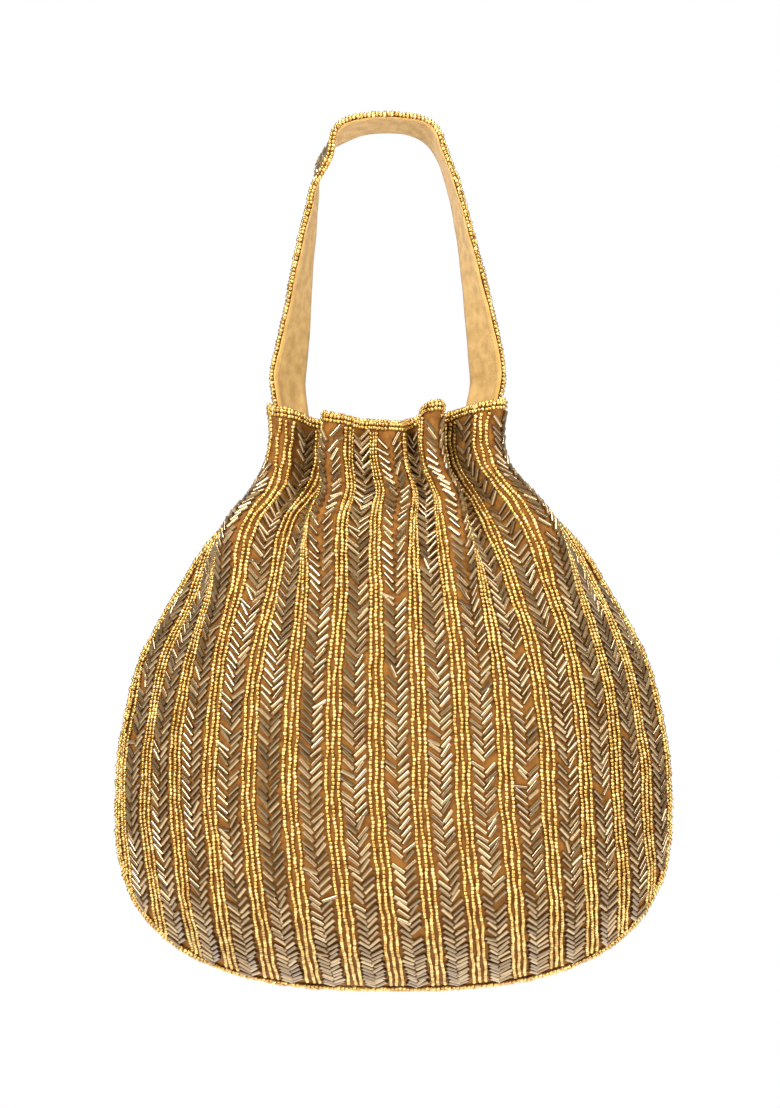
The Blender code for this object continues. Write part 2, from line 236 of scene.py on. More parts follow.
def base_place(s, z):
    """Place and outward direction in the level section at height z, s along the cloth from its middle."""
    xs, ys, arcs = section_arcs(z)
    s_abs = np.minimum(np.abs(s), arcs[:, -1] * 0.99999)
    i = np.clip((arcs <= s_abs[:, None]).sum(axis=1) - 1, 0, arcs.shape[1] - 2)
    row = np.arange(len(z))
    t = (s_abs - arcs[row, i]) / np.maximum(arcs[row, i + 1] - arcs[row, i], 1e-9)
    tables = (xs, ys, np.gradient(xs, axis=1), np.gradient(ys, axis=1))
    x, y, tx, ty = (table[row, i] + t * (table[row, i + 1] - table[row, i]) for table in tables)
    size = np.maximum(np.hypot(tx, ty), 1e-12)
    sign = np.where(s < 0, -1.0, 1.0)
    return sign * x, y, -sign * ty / size, tx / size


# ------------ the gathers

WIDEST_ARC = float(half_arc(WIDEST))


def cloth_edges(z):
    """The cloth's left and right edge at height z, in stripes."""
    share = taper_share(share_of(z))
    left = MIDDLE_STRIPE - WIDEST_ARC / STRIPE
    right = MIDDLE_STRIPE + WIDEST_ARC / STRIPE
    return left + (NECK_LEFT - left) * share, right + (NECK_RIGHT - right) * share


def swing(p):
    """The slope of the gathered cloth at stripe place p, from each turn to the next, in radians."""
    turns, steep = np.array(TURNS), np.array(STEEPNESS)
    i = np.clip(np.searchsorted(turns, p, side="right") - 1, 0, len(turns) - 2)
    phase = (p - turns[i]) / (turns[i + 1] - turns[i])
    falling = np.where(i % 2 == 1, -1.0, 1.0)
    return falling * steep[i] * np.sin(math.pi * np.clip(phase, 0, 1))


FOLD_LEVELS = np.linspace(WIDEST, MOUTH, 170)
FOLD_SHARES = np.linspace(0, 1, 760)


def running_total(values, steps):
    middle = (values[:, 1:] + values[:, :-1]) / 2 * steps
    return np.concatenate([np.zeros((len(values), 1)), np.cumsum(middle, axis=1)], axis=1)


def fold_tables(side):
    """For heights above the widest level and places across the cloth: where each place comes to lie along the
    level section, and how far the folds move it there. The cloth keeps its length round every fold."""
    z = FOLD_LEVELS
    left, right = cloth_edges(z)
    p = left[:, None] + FOLD_SHARES * (right - left)[:, None]
    inside = 1 - np.abs(2 * FOLD_SHARES - 1)
    start, fade = FRONT_CALM if side < 0 else BACK_CALM
    calm = ease((inside - start) / fade)
    slope = fold_strength(share_of(z))[:, None] * calm * swing(p)
    steps = (right - left)[:, None] * STRIPE * (FOLD_SHARES[1] - FOLD_SHARES[0])
    advance = running_total(np.cos(slope), steps)
    reach = half_arc(z)[:, None]
    stretch = 2 * reach / advance[:, -1:]
    s = advance * stretch - reach
    flat = np.repeat(z, len(FOLD_SHARES))
    x, y, nx, ny = (part.reshape(s.shape) for part in base_place(s.ravel(), flat))
    heading = np.arctan2(-nx, ny)
    shifts = []
    for part in (np.cos, np.sin):
        folded = running_total(part(heading + slope), steps * stretch)
        plain = running_total(part(heading) * np.cos(slope), steps * stretch)
        shift = folded - plain
        shifts.append(shift - shift[:, -1:] * FOLD_SHARES)
    return s, *shifts


FOLDS = {side: fold_tables(side) for side in (-1, 1)}


def look_up(table, p, z):
    """A fold table's value at stripe place p and height z, level with its own edges beyond them."""
    left, right = cloth_edges(z)
    column = np.clip((p - left) / (right - left), 0, 0.999999) * (len(FOLD_SHARES) - 1)
    row = np.clip((z - WIDEST) / (MOUTH - WIDEST), 0, 0.999999) * (len(FOLD_LEVELS) - 1)
    i, j = row.astype(int), column.astype(int)
    u, v = row - i, column - j
    return ((table[i, j] * (1 - v) + table[i, j + 1] * v) * (1 - u)
            + (table[i + 1, j] * (1 - v) + table[i + 1, j + 1] * v) * u)


def lean(z):
    drop = np.maximum(WIDEST + 0.012 - z, 0.0)
    return GRAIN_LEAN * drop * drop / (drop + 0.012)


def along_section(side, p, z):
    """Where stripe place p lies along the level section at height z, from its middle."""
    left, right = cloth_edges(z)
    beyond = np.maximum(p - right, 0) - np.maximum(left - p, 0)
    gathered = look_up(FOLDS[side][0], p, z) + beyond * STRIPE
    plain = (p - MIDDLE_STRIPE) * STRIPE + lean(z)
    return plain + (gathered - plain) * ease((z - WIDEST) / 0.020)


def dents(p, z):
    """Shallow unevenness of the filled cloth."""
    a, b = p * STRIPE, z
    waves = (0.50 * np.sin(a * 71 + b * 43 + 0.6) + 0.35 * np.sin(a * 118 - b * 95 + 2.1)
             + 0.25 * np.sin(a * 37 + b * 160 + 4.0))
    puckers = np.exp(-((z - PUCKER_HEIGHT) / 0.012) ** 2) * np.sin(a * 420 + b * 130 + 2 * np.sin(b * 90))
    return DENT_DEPTH * waves + PUCKER_DEPTH * puckers


def surface(side, p, z):
    """Points of the cloth's face; side is -1 on the front, 1 on the back. The back is the front turned round,
    with its folds kept away from where the strap is sewn in."""
    p, z = np.broadcast_arrays(np.asarray(p, float), np.asarray(z, float))
    shape = p.shape
    p, z = p.ravel(), z.ravel()
    reach = half_arc(z)
    s = np.clip(along_section(side, p, z), -reach, reach)
    x, y, nx, ny = base_place(s, z)
    inside = 1 - np.abs(s) / np.maximum(reach, 1e-6)
    out = dents(p * side, z) * ease(inside / 0.12)
    x = x + look_up(FOLDS[side][1], p, z) + nx * out
    y = y + look_up(FOLDS[side][2], p, z) + ny * out
    return np.stack([middle_x(z) - side * x, side * y, z], axis=1).reshape(*shape, 3)


def frames(side, p, z):
    """Points of the cloth's face, their outward directions, and the cloth's stretch up it for each metre."""
    dp, dz = 0.04, 0.0006
    here = surface(side, p, z)
    across = surface(side, p + dp, z) - surface(side, p - dp, z)
    up = surface(side, p, z + dz) - surface(side, p, z - dz)
    return here, unit(np.cross(across, up)), np.linalg.norm(up, axis=-1) / (2 * dz)


def mouth_height(side, p):
    return MOUTH - MOUTH_DIP[side](p)


def bottom_height(p):
    """Height where stripe place p meets the bottom seam."""
    p = np.asarray(p, float)
    low, high = np.full(p.shape, BOTTOM), np.full(p.shape, WIDEST)
    for _ in range(36):
        middle = (low + high) / 2
        outside = np.abs((p - MIDDLE_STRIPE) * STRIPE + lean(middle)) > half_arc(middle)
        low = np.where(outside, middle, low)
        high = np.where(outside, high, middle)
    return high


# ------------ meshes

def new_piece(name, mesh, material=None):
    piece = bpy.data.objects.new(name, mesh)
    bpy.context.scene.collection.objects.link(piece)
    if material is not None:
        mesh.materials.clear()
        mesh.materials.append(material)
    return piece


def grid_mesh(name, points, uv_size):
    """A mesh over a grid of points, rows from below, with a UV map in metres along the cloth."""
    rows, columns = points.shape[:2]
    index = np.arange(rows * columns).reshape(rows, columns)
    faces = np.stack([index[:-1, :-1], index[:-1, 1:], index[1:, 1:], index[1:, :-1]], axis=-1).reshape(-1, 4)
    mesh = bpy.data.meshes.new(name)
    mesh.from_pydata(points.reshape(-1, 3).tolist(), [], faces.tolist())
    u, v = np.meshgrid(np.linspace(0, uv_size[0], columns), np.linspace(0, uv_size[1], rows))
    layer = mesh.uv_layers.new(name="cloth")
    loops = np.empty(len(mesh.loops), int)
    mesh.loops.foreach_get("vertex_index", loops)
    layer.data.foreach_set("uv", np.stack([u.ravel()[loops], v.ravel()[loops]], axis=1).ravel())
    mesh.shade_smooth()
    return mesh


def thicken(piece, thickness, offset):
    """Gives an open sheet its thickness and applies it."""
    solidify = piece.modifiers.new("thickness", "SOLIDIFY")
    solidify.thickness = thickness
    solidify.offset = offset
    apply_modifiers(piece)


def apply_modifiers(piece):
    solid = bpy.data.meshes.new_from_object(piece.evaluated_get(bpy.context.evaluated_depsgraph_get()))
    piece.modifiers.clear()
    old = piece.data
    solid.name = old.name
    piece.data = solid
    bpy.data.meshes.remove(old)


def cloth_stations(columns):
    even = np.linspace(-1, 1, columns + 1)
    return 0.25 * (1.6 * even + 0.4 * np.sin(math.pi / 2 * even)) + 0.5


def cloth_grid(side, columns, rows, top_drop):
    """Stripe places and heights of a grid over one panel, rows from the bottom seam up to the mouth."""
    u = cloth_stations(columns)
    left, right = cloth_edges(np.array([WIDEST, MOUTH]))
    bottoms = bottom_height(left[0] + u * (right[0] - left[0]))
    tops = mouth_height(side, left[1] + u * (right[1] - left[1])) - top_drop
    v = np.linspace(0, 1, rows + 1)[:, None] ** 0.92
    z = bottoms + (tops - bottoms) * v
    left, right = cloth_edges(z.ravel())
    p = (left + np.tile(u, rows + 1) * (right - left)).reshape(z.shape)
    return p, z


def flat_area(points):
    across = np.linalg.norm(points[1:, 1:] - points[1:, :-1], axis=-1)
    up = np.linalg.norm(points[1:, 1:] - points[:-1, 1:], axis=-1)
    return float((across * up).sum())


def panel(name, side, material):
    p, z = cloth_grid(side, CLOTH_COLUMNS, CLOTH_ROWS, 0.0)
    points = surface(side, p, z)
    points[..., 1] += side * SEAM_GAP
    piece = new_piece(name, grid_mesh(name, points, (0.29, 0.28)), material)
    thicken(piece, CLOTH_THICK, 1.0)
    return piece


def lining(name, side, material):
    p, z = cloth_grid(side, LINING_COLUMNS, LINING_ROWS, LINING_DROP)
    here, normal, _ = frames(side, p, z)
    inset = LINING_INSET + strap_room(side, p, z)
    points = here - normal * inset[..., None]
    points[..., 1] = side * np.maximum(points[..., 1] * side, LINING_SEAM)
    piece = new_piece(name, grid_mesh(name, points, (0.28, 0.27)), material)
    thicken(piece, LINING_THICK, -1.0)
    return piece


def strap_room(side, p, z):
    """How much further in the lining lies where the strap is sewn between it and the back panel."""
    if side < 0:
        return np.zeros(p.shape)
    share = np.abs(along_section(side, p.ravel(), z.ravel())) / half_arc(z.ravel())
    beside = ease((share - STRAP_ROOM_SHARE) / 0.10)
    high = ease((z.ravel() - STRAP_ROOM_HEIGHT) / 0.010)
    return (STRAP_ROOM * beside * high).reshape(p.shape)


def elastic(material):
    """The flat elastic that holds the gathers, in the casing between the panels and the lining."""
    low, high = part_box("neck_elastic")
    z = np.linspace(low[2], high[2], 5)[:, None]
    left, right = (float(e[0]) for e in cloth_edges(np.array([high[2]])))
    p = np.linspace(left + 0.12, right - 0.12, 130)
    rings = []
    for side in (-1, 1):
        here, normal, _ = frames(side, np.broadcast_to(p, (5, len(p))), np.broadcast_to(z, (5, len(p))))
        rings.append(here - normal * 0.0005)
    loop = np.concatenate([rings[0], rings[1], rings[0][:, :1]], axis=1)
    piece = new_piece("neck_elastic_band", grid_mesh("neck_elastic_band", loop, (0.27, 0.006)), material)
    apply_weld(piece)
    thicken(piece, LINING_THICK, -1.0)
    return piece


def apply_weld(piece):
    """Joins the points of a piece that lie in one place."""
    bm = bmesh.new()
    bm.from_mesh(piece.data)
    bmesh.ops.remove_doubles(bm, verts=bm.verts, dist=0.00001)
    bm.to_mesh(piece.data)
    bm.free()


# ------------ the strap

def strap_stations():
    """The free strap's stations from left to right: middle points, and directions from front to back edge."""
    route = np.array(STRAP_ROUTE)
    arcs = distances(route[:, :3])
    tracks = [smooth(np.stack([arcs, route[:, k]], axis=1)) for k in range(4)]
    at = np.linspace(0, arcs[-1], int(arcs[-1] / STRAP_STEP))
    middle = np.stack([t(at) for t in tracks[:3]], axis=1)
    roll = np.radians(tracks[3](at))
    along = np.gradient(middle, axis=0)
    inwards = unit(np.stack([along[:, 2], np.zeros(len(at)), -along[:, 0]], axis=1))
    across = np.sin(roll)[:, None] * inwards
    across[:, 1] = np.cos(roll)
    return middle, across


STRAP_SHARES = np.linspace(0, 1, 13)


def strap_grid():
    """Points of the strap's middle surface: stations along it, and shares of its width from front to back."""
    middle, across = strap_stations()
    free = middle[:, None] + across[:, None] * (STRAP_WIDE * (STRAP_SHARES - 0.5))[None, :, None]
    places = SEWN_EDGES[0] + (SEWN_EDGES[1] - SEWN_EDGES[0]) * STRAP_SHARES
    ends = []
    for hand in (-1, 1):
        rows = []
        for z in SEWN_HEIGHTS:
            z = np.full(len(places), z)
            x, y, nx, ny = base_place(places * half_arc(z), z)
            x, y = x - nx * STRAP_INSET, y - ny * STRAP_INSET
            rows.append(np.stack([middle_x(z) + hand * x, y, z], axis=1))
        ends.append(np.array(rows))
    turns = [0.2, 0.4, 0.6, 0.8]
    left = [ends[0][-1] * (1 - ease(t)) + free[0] * ease(t) for t in turns]
    right = [free[-1] * (1 - ease(t)) + ends[1][-1] * ease(t) for t in turns]
    grid = np.concatenate([ends[0], np.array(left), free, np.array(right), ends[1][::-1]])
    for _ in range(2):
        grid[1:-1] = (grid[:-2] + 2 * grid[1:-1] + grid[2:]) / 4
    return grid


def grid_normals(grid):
    return unit(np.cross(np.gradient(grid, axis=0), np.gradient(grid, axis=1)))


STRAP = strap_grid()
STRAP_OUT = grid_normals(STRAP)
STRAP_TOP = (len(STRAP) // 2, len(STRAP_SHARES) // 2)
if STRAP_OUT[STRAP_TOP][2] < 0:
    STRAP_OUT = -STRAP_OUT


def strap_at(share, lift):
    """A line along the strap at a share of its width, lifted off its middle surface, and its directions."""
    column = share * (len(STRAP_SHARES) - 1)
    j = min(int(column), len(STRAP_SHARES) - 2)
    t = column - j
    line = STRAP[:, j] * (1 - t) + STRAP[:, j + 1] * t
    out = STRAP_OUT[:, j] * (1 - t) + STRAP_OUT[:, j + 1] * t
    return line + out * lift, out


def strap_layer(name, shares, lift, thickness, material, ripple=0.0):
    """One layer of the strap between two shares of its width, on the outside where its lift is positive."""
    lines = []
    for share in shares:
        line, out = strap_at(share, lift)
        k = np.arange(len(line))
        wave = ripple * (np.sin(k * 0.83 + share * 3) + 0.6 * np.sin(k * 0.31 + share * 9 + 1))
        lines.append(line + out * wave[:, None])
    points = np.stack(lines, axis=1)
    width = STRAP_WIDE * (shares[-1] - shares[0])
    mesh = grid_mesh(name, points, (width, STRAP_STEP * len(points)))
    piece = new_piece(name, mesh, material)
    away = STRAP_OUT[STRAP_TOP]
    if mesh.polygons[len(mesh.polygons) // 2].normal.dot(Vector(away)) * (1 if lift >= 0 else -1) < 0:
        mesh.flip_normals()
    thicken(piece, thickness, -1.0)
    return piece


# ------------ node trees

def new_tree(name, kind, inputs, outputs):
    """A group with inputs, as (name, type, value), and outputs, as (name, type), and its two end nodes."""
    tree = bpy.data.node_groups.new(name, kind)
    for label, sort, value in inputs:
        made = tree.interface.new_socket(name=label, in_out="INPUT", socket_type=f"NodeSocket{sort}")
        if value is not None:
            made.default_value = value
    for label, sort in outputs:
        tree.interface.new_socket(name=label, in_out="OUTPUT", socket_type=f"NodeSocket{sort}")
    return tree, tree.nodes.new("NodeGroupInput"), tree.nodes.new("NodeGroupOutput")


def node(tree, kind, inputs=(), **settings):
    """A new node, with each given input, by name or place, linked to a socket or set to a value."""
    made = tree.nodes.new(kind)
    for key, value in settings.items():
        setattr(made, key, value)
    for key, value in inputs:
        named = [s for s in made.inputs if s.name == key and s.enabled]
        target = named[0] if named else made.inputs[key]
        if isinstance(value, bpy.types.NodeSocket):
            tree.links.new(value, target)
        else:
            target.default_value = value
    return made


def chance(tree, low, high, seed, kind="FLOAT"):
    """A random value for each bead."""
    limits = [("Min", low), ("Max", high), ("Seed", seed)]
    made = node(tree, "FunctionNodeRandomValue", limits, data_type=kind)
    return next(s for s in made.outputs if s.enabled)


def chance_vector(tree, length, seed):
    """A random vector for each bead, each way up to length."""
    way = chance(tree, (-1, -1, -1), (1, 1, 1), seed, "FLOAT_VECTOR")
    scaled = node(tree, "ShaderNodeVectorMath", [("Vector", way), ("Scale", length)], operation="SCALE")
    return scaled.outputs[0]


def bead_tree(name, *more):
    """A bead tree's group, with the inputs that both kinds of bead share."""
    inputs = [("Geometry", "Geometry", None), ("Bead", "Object", None), ("Material", "Material", None),
              ("Smallest", "Float", 0.92), ("Largest", "Float", 1.06),
              ("Tilt", "Float", 0.2), ("Wander", "Float", 0.0001)]
    return new_tree(name, "GeometryNodeTree", inputs + list(more), [("Geometry", "Geometry")])


def set_beads(tree, start, end, points, direction):
    """The nodes shared by both bead trees, from the beads' points to the finished mesh."""
    moved = node(tree, "GeometryNodeSetPosition",
                 [("Geometry", points), ("Offset", chance_vector(tree, start.outputs["Wander"], 5))])
    tilted = node(tree, "ShaderNodeVectorMath",
                  [(0, direction), (1, chance_vector(tree, start.outputs["Tilt"], 9))], operation="ADD")
    turned = node(tree, "FunctionNodeAlignRotationToVector", [("Vector", tilted.outputs[0])], axis="Z")
    shape = node(tree, "GeometryNodeObjectInfo", [("Object", start.outputs["Bead"])])
    size = chance(tree, start.outputs["Smallest"], start.outputs["Largest"], 3)
    beads = node(tree, "GeometryNodeInstanceOnPoints",
                 [("Points", moved.outputs["Geometry"]), ("Instance", shape.outputs["Geometry"]),
                  ("Rotation", turned.outputs["Rotation"]), ("Scale", size)])
    tone = chance(tree, 0.0, 1.0, 7)
    toned = node(tree, "GeometryNodeStoreNamedAttribute",
                 [("Geometry", beads.outputs["Instances"]), ("Value", tone), ("Name", "tone")],
                 data_type="FLOAT", domain="INSTANCE")
    real = node(tree, "GeometryNodeRealizeInstances", [("Geometry", toned.outputs["Geometry"])])
    dressed = node(tree, "GeometryNodeSetMaterial",
                   [("Geometry", real.outputs["Geometry"]), ("Material", start.outputs["Material"])])
    tree.links.new(dressed.outputs["Geometry"], end.inputs["Geometry"])
    return tree


def seed_tree():
    """Seed beads strung along every line of a mesh of edges."""
    tree, start, end = bead_tree("seed_beads", ("Pitch", "Float", SEED_PITCH))
    lines = node(tree, "GeometryNodeMeshToCurve", [("Mesh", start.outputs["Geometry"])])
    strung = node(tree, "GeometryNodeResampleCurve",
                  [("Curve", lines.outputs["Curve"]), ("Length", start.outputs["Pitch"])], mode="LENGTH")
    tangent = node(tree, "GeometryNodeInputTangent")
    return set_beads(tree, start, end, strung.outputs["Curve"], tangent.outputs["Tangent"])


def bugle_tree():
    """One bugle bead along every edge of a mesh of loose edges."""
    tree, start, end = bead_tree("bugle_beads")
    ends = node(tree, "GeometryNodeInputMeshEdgeVertices")
    along = node(tree, "ShaderNodeVectorMath",
                 [(0, ends.outputs["Position 2"]), (1, ends.outputs["Position 1"])], operation="SUBTRACT")
    unit = node(tree, "ShaderNodeVectorMath", [(0, along.outputs[0])], operation="NORMALIZE")
    kept = node(tree, "GeometryNodeStoreNamedAttribute",
                [("Geometry", start.outputs["Geometry"]), ("Value", unit.outputs[0]), ("Name", "along")],
                data_type="FLOAT_VECTOR", domain="EDGE")
    points = node(tree, "GeometryNodeMeshToPoints", [("Mesh", kept.outputs["Geometry"])], mode="EDGES")
    read = node(tree, "GeometryNodeInputNamedAttribute", [("Name", "along")], data_type="FLOAT_VECTOR")
    direction = next(s for s in read.outputs if s.enabled and s.name == "Attribute")
    return set_beads(tree, start, end, points.outputs["Points"], direction)


# ------------ beads

def turned_bead(name, profile, sides, sharp):
    """A turned bead about Z from (radius, height) points, its two ends closed."""
    bm = bmesh.new()
    rings = []
    for radius, height in profile:
        angles = [2 * math.pi * k / sides for k in range(sides)]
        rings.append([bm.verts.new((radius * math.cos(a), radius * math.sin(a), height)) for a in angles])
    for low, high in zip(rings, rings[1:]):
        for k in range(sides):
            bm.faces.new((low[k], low[(k + 1) % sides], high[(k + 1) % sides], high[k]))
    bm.faces.new(list(reversed(rings[0])))
    bm.faces.new(rings[-1])
    mesh = bpy.data.meshes.new(name)
    bm.to_mesh(mesh)
    bm.free()
    mesh.shade_smooth()
    mesh.set_sharp_from_angle(angle=math.radians(sharp))
    return new_piece(name, mesh)


def seed_shape():
    r, h = SEED_WIDE / 2, SEED_LONG / 2
    return turned_bead("seed_shape", [(0.58 * r, -h), (r, -0.42 * h), (r, 0.42 * h), (0.58 * r, h)], 6, 80)


def bugle_shape():
    r, h = BUGLE_WIDE / 2, BUGLE_LONG / 2
    return turned_bead("bugle_shape", [(r, -h), (r, h)], 8, 60)


def lines_mesh(name, lines):
    """A mesh of open lines of points."""
    points = np.concatenate(lines)
    edges, start = [], 0
    for line in lines:
        edges += [(start + k, start + k + 1) for k in range(len(line) - 1)]
        start += len(line)
    mesh = bpy.data.meshes.new(name)
    mesh.from_pydata(points.tolist(), edges, [])
    return mesh


def grow_beads(name, lines, tree, bead, material, **settings):
    """Runs a bead tree on lines of points and keeps the result as a plain mesh."""
    mesh = lines_mesh(name, lines)
    guide = new_piece(name, mesh)
    modifier = guide.modifiers.new("beads", "NODES")
    modifier.node_group = tree
    values = {"Bead": bead, "Material": material, **settings}
    for item in tree.interface.items_tree:
        if item.in_out == "INPUT" and item.name in values:
            modifier[item.identifier] = values[item.name]
    grown = bpy.data.meshes.new_from_object(guide.evaluated_get(bpy.context.evaluated_depsgraph_get()))
    guide.modifiers.clear()
    guide.data = grown
    grown.name = name
    bpy.data.meshes.remove(mesh)
    return guide


# ------------ the embroidery

def room(side, p, z):
    """How far stripe place p at height z lies inside the sewn edge, along the level section."""
    return half_arc(z) - np.abs(along_section(side, p, z))


def stripe_heights(side, p, lower, upper, clear):
    """Heights at which stripe place p lies on the panel, clear of its edging."""
    bottom = float(bottom_height(np.array([p]))[0])
    z = np.arange(bottom + lower, float(mouth_height(side, p)) - upper, 0.0007)
    left, right = cloth_edges(z)
    inside = (p > left) & (p < right) & (room(side, np.full(len(z), p), z) > clear)
    return z[inside]


def runs(z):
    """Splits heights into unbroken stretches."""
    if len(z) < 2:
        return []
    cuts = np.where(np.diff(z) > 0.001)[0] + 1
    return [part for part in np.split(z, cuts) if len(part) > 4]


def seed_lines(side, stripes):
    """The three seed rows of each stripe."""
    lines = []
    for stripe in stripes:
        for row in (-1, 0, 1):
            phase = rng.uniform(0, 6.3, 3)
            place = stripe + row * ROW_STEP / STRIPE
            for z in runs(stripe_heights(side, place, *SEED_MARGINS, EDGING_WIDTH)):
                sway = 0.00022 * np.sin(z * 260 + phase[0]) + 0.00016 * np.sin(z * 610 + phase[1])
                p = stripe + (row * ROW_STEP + sway) / STRIPE
                here, normal, _ = frames(side, p, z)
                lines.append(here + normal * (CLOTH_THICK + SEED_WIDE * SEED_SEAT))
    return lines


def chevron_edges(side, stripes):
    """Pairs of bugle end points for the chevrons between each stripe and the next."""
    edges = []
    for stripe in stripes:
        middle = stripe + 0.5
        for z in runs(stripe_heights(side, middle, *BUGLE_MARGINS, 0.0)):
            here, _, _ = frames(side, np.full(len(z), middle), z)
            length = distances(here)
            for hand in (-1, 1):
                count = int(length[-1] / BUGLE_PITCH)
                steps = np.arange(count) + 0.25 * (hand + 1)
                at = steps * BUGLE_PITCH + rng.normal(0, UNEVEN_PITCH, count)
                at = at[rng.random(count) > MISSING_SHARE]
                edges.append(bugle_ends(side, middle, np.interp(at, length, z), hand))
    return np.concatenate(edges)


def bugle_ends(side, middle, z, hand):
    """End points of one arm's bugles, laid on the cloth from their lower, inner ends. Where the seam is too
    near for the full spread, they stand steeper."""
    count = len(z)
    uneven = np.radians(odd_angle(share_of(z))) * rng.normal(0, 1, count)
    angle = CHEVRON_ANGLE - hand * math.radians(1.5) + uneven
    askew = rng.random(count) < ASKEW_SHARE
    angle[askew] += rng.normal(0, ASKEW_ANGLE, askew.sum())
    inner = CHEVRON_GAP / 2 + rng.normal(0, UNEVEN_GAP, count)
    p_in = middle + hand * inner / STRIPE
    _, _, stretch = frames(side, p_in, z)
    stretch = np.maximum(stretch, 0.5)
    fits = np.zeros(count, bool)
    p_out, z_out = p_in.copy(), z.copy()
    for steeper in (1.0, 0.75, 0.5, 0.25, 0.0, -0.25):
        p_try = p_in + hand * BUGLE_LONG * np.sin(angle * steeper) / STRIPE
        z_try = z + BUGLE_LONG * np.cos(angle * steeper) / stretch
        below_mouth = z_try < mouth_height(side, p_try) - BUGLE_MARGINS[0]
        clear = (room(side, p_try, z_try) > BUGLE_EDGING) & below_mouth
        new = clear & ~fits
        p_out[new], z_out[new] = p_try[new], z_try[new]
        fits |= clear
    fits &= room(side, p_in, z) > BUGLE_EDGING
    p_in, p_out, z, z_out = p_in[fits], p_out[fits], z[fits], z_out[fits]
    low, _, _ = frames(side, p_in, z)
    high, _, _ = frames(side, p_out, z_out)
    mid, mid_out, _ = frames(side, (p_in + p_out) / 2, (z + z_out) / 2)
    chord = (low + high) / 2
    sink = np.maximum(((mid - chord) * mid_out).sum(axis=1), 0.0)
    lift = CLOTH_THICK + BUGLE_WIDE * BUGLE_SEAT
    centre = chord + mid_out * (sink + lift)[:, None]
    half = unit(high - low) * BUGLE_LONG / 2
    return np.stack([centre - half, centre + half], axis=1)


def sewn_outline(top):
    """The sewn edge in the seam plane, from the left of the mouth round the bottom to the right: places and
    outward directions, as x and z."""
    heights = np.linspace(top, WIDEST, 150)
    turn = np.linspace(0, math.pi / 2, 130)[1:]
    x = np.concatenate([half_width(heights), WIDEST_HALF * np.cos(turn) ** (2 / CORNER_POWER)])
    z = np.concatenate([heights, WIDEST - (WIDEST - BOTTOM) * np.sin(turn) ** (2 / CORNER_POWER)])
    middle = middle_x(z)
    left, right = np.stack([middle - x, z], axis=1), np.stack([middle + x, z], axis=1)
    line = np.concatenate([left, right[-2::-1]])
    steps = distances(line)
    at = np.arange(0, steps[-1], 0.0012)
    line = np.stack([np.interp(at, steps, line[:, k]) for k in (0, 1)], axis=1)
    along = np.gradient(line, axis=0)
    return line, unit(np.stack([along[:, 1], -along[:, 0]], axis=1))


def seam_row(side, inside, lift):
    """A line on a panel's face, that far inside the sewn edge along the cloth."""
    line, outward = sewn_outline(MOUTH - 0.0045)
    t = np.linspace(0, inside, 14)
    flat = line[:, None] - outward[:, None] * t[None, :, None]
    x = flat[..., 0] - middle_x(flat[..., 1])
    y = wall_depth(x, flat[..., 1])
    steps = np.hypot(np.diff(t)[None], np.diff(y, axis=1))
    arcs = np.concatenate([np.zeros((len(line), 1)), np.cumsum(steps, axis=1)], axis=1)
    share = np.array([np.interp(inside, arc, t) for arc in arcs])
    depth = np.array([np.interp(inside, arc, row) for arc, row in zip(arcs, y)])
    inner = line - outward * share[:, None]
    slope = np.array([np.interp(inside, arc, np.gradient(row, arc + t * 1e-9)) for arc, row in zip(arcs, y)])
    slope = np.clip(slope, 0, 0.98)
    xz = inner + outward * (slope * lift)[:, None]
    depth = depth + np.sqrt(1 - slope**2) * lift + SEAM_GAP
    return np.stack([xz[:, 0], side * depth, xz[:, 1]], axis=1)


def mouth_row(side, drop, lift):
    """A line along the mouth's edge, that far below it."""
    left, right = (float(e[0]) for e in cloth_edges(np.array([MOUTH])))
    p = np.linspace(left + 0.02, right - 0.02, 700)
    here, normal, _ = frames(side, p, mouth_height(side, p) - drop)
    return here + normal * lift


# ------------ materials

def new_material(name, color, **values):
    material = bpy.data.materials.new(name)
    material.use_nodes = True
    shader = material.node_tree.nodes["Principled BSDF"]
    shader.inputs["Base Color"].default_value = (*color, 1)
    for key, value in values.items():
        shader.inputs[key.replace("_", " ")].default_value = value
    return material, shader


def math_node(tree, operation, first, second=0.0, **settings):
    return node(tree, "ShaderNodeMath", [(0, first), (1, second)], operation=operation, **settings).outputs[0]


def weave_group():
    """Woven cloth: threads both ways on the cloth's own UV map, with slubs, as a height and a shade."""
    tree, start, end = new_tree("weave", "ShaderNodeTree",
                                [("Threads", "Float", 1400.0), ("Slub", "Float", 0.5)],
                                [("Height", "Float"), ("Shade", "Float")])
    place = node(tree, "ShaderNodeUVMap", uv_map="cloth").outputs[0]
    parts = node(tree, "ShaderNodeSeparateXYZ", [(0, place)])
    turns = [math_node(tree, "MULTIPLY", parts.outputs[axis], start.outputs["Threads"]) for axis in "XY"]
    waves = [math_node(tree, "SINE", turn) for turn in turns]
    woven = math_node(tree, "MULTIPLY", *waves)
    slubs = node(tree, "ShaderNodeTexNoise", [("Vector", place), ("Scale", 160.0), ("Detail", 4.0)])
    slub = math_node(tree, "MULTIPLY", slubs.outputs[0], start.outputs["Slub"])
    cloudy = node(tree, "ShaderNodeTexNoise", [("Vector", place), ("Scale", 190.0), ("Detail", 6.0)])
    tree.links.new(math_node(tree, "ADD", woven, slub), end.inputs["Height"])
    tree.links.new(cloudy.outputs[0], end.inputs["Shade"])
    return tree


